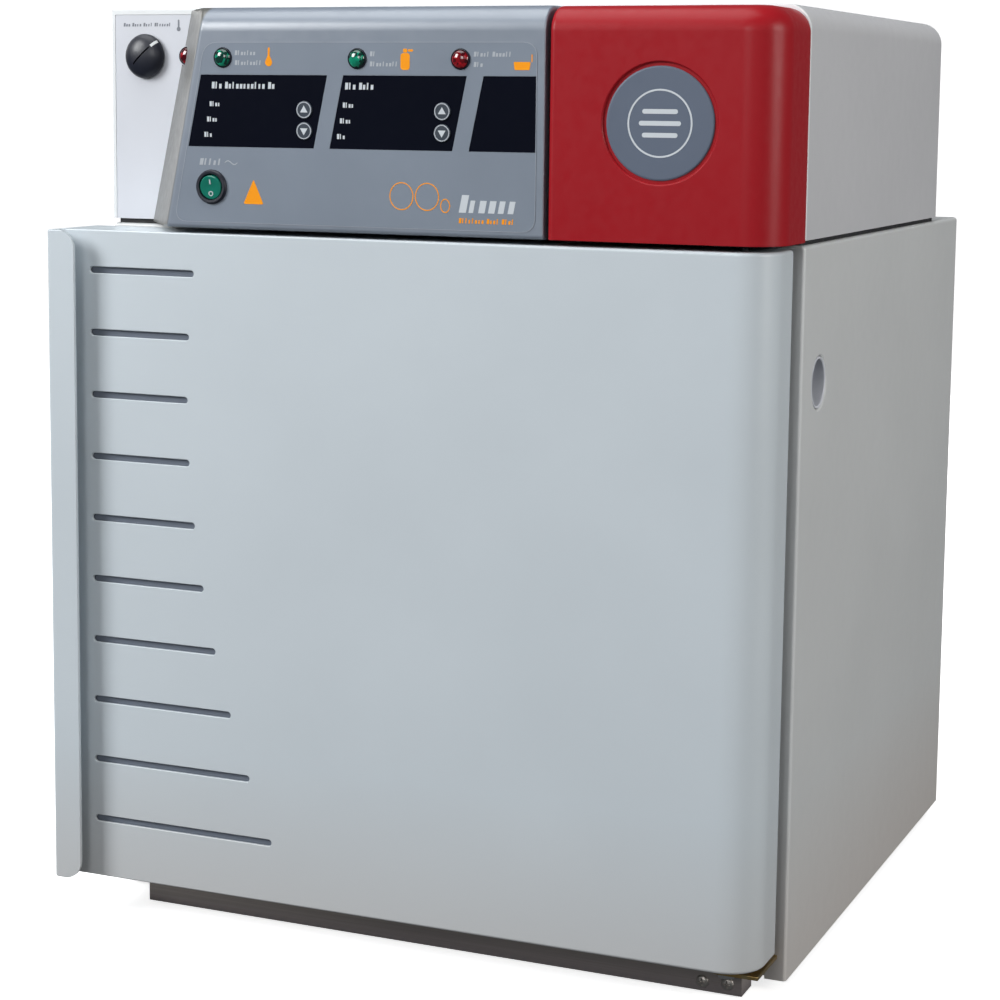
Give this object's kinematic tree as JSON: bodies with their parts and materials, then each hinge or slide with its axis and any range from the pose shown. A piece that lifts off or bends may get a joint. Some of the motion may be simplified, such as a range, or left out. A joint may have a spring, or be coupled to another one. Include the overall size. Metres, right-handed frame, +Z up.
{
  "type": "laboratory incubator",
  "caption": "Benchtop water-jacketed carbon dioxide incubator with a hinged outer door, a glass inner door and a control box on top",
  "frame": {"origin": "centre of the object's outline on the surface it stands on", "axes": "+Z up, the front with the door faces -Y, the door's hinge is on the +X side"},
  "size_m": [0.5656, 0.5764, 0.7038],
  "materials": {
    "grey_white_paint": "satin powder coat",
    "white_paint": "satin powder coat",
    "slate_plastic": "satin moulded plastic",
    "red_plastic": "glossy moulded plastic",
    "black_plastic": "fine matte",
    "window_black": "smooth dark window",
    "badge_grey": "satin",
    "green_lens": "glossy translucent",
    "red_lens": "glossy translucent",
    "stainless_steel": "brushed",
    "yellow_zinc": "yellow zinc plate",
    "galvanised_steel": "dull galvanised",
    "filled_jacket": "galvanised tank full of water",
    "insulation_foam": "rough",
    "dark_rubber": "matte",
    "tempered_glass": "clear",
    "circuit_board": "satin",
    "brass": "machined"
  },
  "bodies": {
    "cabinet": {"alarm_lamp": "red_lens", "badge_disc": "badge_grey", "base_pan": "galvanised_steel", "cabinet_shell": "grey_white_paint", "chamber_gasket": "dark_rubber", "chamber_liner": "stainless_steel", "control_board": "circuit_board", "control_plate": "white_paint", "fill_neck": "black_plastic", "foot_front_left": "dark_rubber", "foot_front_right": "dark_rubber", "foot_rear_left": "dark_rubber", "foot_rear_right": "dark_rubber", "front_frame": "grey_white_paint", "gas_inlet": "brass", "gas_valve": "brass", "grey_bezel": "slate_plastic", "head_cover": "white_paint", "head_tray": "white_paint", "humidity_pan": "stainless_steel", "inner_hinge_rod": "stainless_steel", "insulation": "insulation_foam", "jacket_heater": "dark_rubber", "lamp_gas": "green_lens", "lamp_heating": "green_lens", "lamp_water": "red_lens", "latch_keeper": "stainless_steel", "lower_hinge_bracket": "yellow_zinc", "lower_hinge_pin": "stainless_steel", "port_tube": "white_paint", "power_inlet": "black_plastic", "rear_panel": "grey_white_paint", "red_end_cap": "red_plastic", "shelf_lower": "stainless_steel", "shelf_middle": "stainless_steel", "shelf_rack_left": "stainless_steel", "shelf_rack_right": "stainless_steel", "shelf_upper": "stainless_steel", "sill_rail": "stainless_steel", "switch_bezel": "black_plastic", "thermostat_body": "black_plastic", "transformer": "galvanised_steel", "upper_hinge_bracket": "galvanised_steel", "water_jacket": "filled_jacket", "window_left": "window_black", "window_middle": "window_black", "window_right": "window_black"},
    "outer_door": {"door_skin": "grey_white_paint", "door_liner": "white_paint", "door_insulation": "insulation_foam", "door_gasket": "dark_rubber"},
    "inner_door": {"glass_door": "tempered_glass"},
    "inner_latch": {"inner_latch": "black_plastic"},
    "limit_knob": {"limit_knob": "black_plastic"},
    "power_rocker": {"power_rocker": "green_lens"},
    "key_temperature_up": {"key_temperature_up": "black_plastic"},
    "key_temperature_down": {"key_temperature_down": "black_plastic"},
    "key_gas_up": {"key_gas_up": "black_plastic"},
    "key_gas_down": {"key_gas_down": "black_plastic"}
  },
  "joints": [
    {"name": "outer_door_swing", "type": "hinge", "parent": "cabinet", "child": "outer_door", "pos_m": [0.2506, -0.24375, 0.032], "axis": [0, 0, 1], "range_deg": [0, 105]},
    {"name": "inner_door_swing", "type": "hinge", "parent": "cabinet", "child": "inner_door", "pos_m": [0.2128, -0.21025, 0.07], "axis": [0, 0, 1], "range_deg": [0, 84]},
    {"name": "inner_latch_turn", "type": "hinge", "parent": "inner_door", "child": "inner_latch", "pos_m": [-0.2032, -0.21355, 0.273], "axis": [0, -1, 0], "range_deg": [0, 90]},
    {"name": "limit_knob_turn", "type": "hinge", "parent": "cabinet", "child": "limit_knob", "pos_m": [-0.245, -0.20425, 0.6669], "axis": [0, 1, 0], "range_deg": [-195, 105]},
    {"name": "power_rocker_tilt", "type": "hinge", "parent": "cabinet", "child": "power_rocker", "pos_m": [-0.1487, -0.27075, 0.5706], "axis": [-1, 0, 0], "range_deg": [0, 20]},
    {"name": "key_temperature_up_press", "type": "slide", "parent": "cabinet", "child": "key_temperature_up", "axis": [0, 1, 0], "range_m": [0, 0.0009], "stiffness_N_per_m": 600},
    {"name": "key_temperature_down_press", "type": "slide", "parent": "cabinet", "child": "key_temperature_down", "axis": [0, 1, 0], "range_m": [0, 0.0009], "stiffness_N_per_m": 600},
    {"name": "key_gas_up_press", "type": "slide", "parent": "cabinet", "child": "key_gas_up", "axis": [0, 1, 0], "range_m": [0, 0.0009], "stiffness_N_per_m": 600},
    {"name": "key_gas_down_press", "type": "slide", "parent": "cabinet", "child": "key_gas_down", "axis": [0, 1, 0], "range_m": [0, 0.0009], "stiffness_N_per_m": 600}
  ],
  "couplings": [
    {"joint": "inner_door_swing", "follows": "outer_door_swing", "ratio": 0.75}
  ]
}
